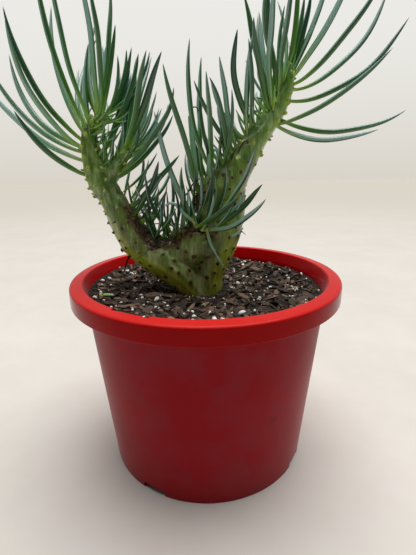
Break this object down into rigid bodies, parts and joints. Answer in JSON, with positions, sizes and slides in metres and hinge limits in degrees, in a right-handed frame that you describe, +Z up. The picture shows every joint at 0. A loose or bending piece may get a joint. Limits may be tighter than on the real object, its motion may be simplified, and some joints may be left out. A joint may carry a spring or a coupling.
{
  "type": "potted senecio",
  "caption": "Thick forked succulent stem with a crest and long finger-like leaves, growing in bark mix in a round tapered plastic pot with a turned-down rim.",
  "frame": {"origin": "on the pot's axis, on the surface that the pot stands on", "axes": "+Z up along the pot's axis; the plant's two arms spread along X, and -Y is its front"},
  "size_m": [0.2817, 0.2, 0.3475],
  "materials": {
    "pot_plastic": "satin",
    "potting_mix": "matte",
    "stem_skin": "satin",
    "leaf_skin": "satin",
    "dried_leaf": "matte"
  },
  "bodies": {
    "root": {"pot": "pot_plastic", "potting_mix": "potting_mix", "stem": "stem_skin", "left_leaf_01": "leaf_skin", "left_leaf_02": "leaf_skin", "left_leaf_03": "leaf_skin", "left_leaf_04": "leaf_skin", "left_leaf_05": "leaf_skin", "left_leaf_06": "leaf_skin", "left_leaf_07": "leaf_skin", "left_leaf_08": "leaf_skin", "left_leaf_09": "leaf_skin", "left_leaf_10": "leaf_skin", "left_leaf_11": "leaf_skin", "left_leaf_12": "leaf_skin", "left_leaf_13": "leaf_skin", "left_leaf_14": "leaf_skin", "left_leaf_15": "leaf_skin", "left_leaf_16": "leaf_skin", "left_leaf_17": "leaf_skin", "left_leaf_18": "leaf_skin", "left_leaf_19": "leaf_skin", "left_leaf_20": "leaf_skin", "left_leaf_21": "leaf_skin", "left_leaf_22": "leaf_skin", "left_leaf_23": "leaf_skin", "left_leaf_24": "leaf_skin", "left_leaf_25": "leaf_skin", "middle_leaf_01": "leaf_skin", "middle_leaf_02": "leaf_skin", "middle_leaf_03": "leaf_skin", "middle_leaf_04": "leaf_skin", "middle_leaf_05": "leaf_skin", "middle_leaf_06": "leaf_skin", "middle_leaf_07": "leaf_skin", "middle_leaf_08": "leaf_skin", "middle_leaf_09": "leaf_skin", "middle_leaf_10": "leaf_skin", "middle_leaf_11": "leaf_skin", "middle_leaf_12": "leaf_skin", "middle_leaf_13": "leaf_skin", "middle_leaf_14": "leaf_skin", "right_leaf_01": "leaf_skin", "right_leaf_02": "leaf_skin", "right_leaf_03": "leaf_skin", "right_leaf_04": "leaf_skin", "right_leaf_05": "leaf_skin", "right_leaf_06": "leaf_skin", "right_leaf_07": "leaf_skin", "right_leaf_08": "leaf_skin", "right_leaf_09": "leaf_skin", "right_leaf_10": "leaf_skin", "right_leaf_11": "leaf_skin", "right_leaf_12": "leaf_skin", "right_leaf_13": "leaf_skin", "right_leaf_14": "leaf_skin", "right_leaf_15": "leaf_skin", "right_leaf_16": "leaf_skin", "right_leaf_17": "leaf_skin", "fallen_leaf": "dried_leaf"}
  },
  "joints": []
}
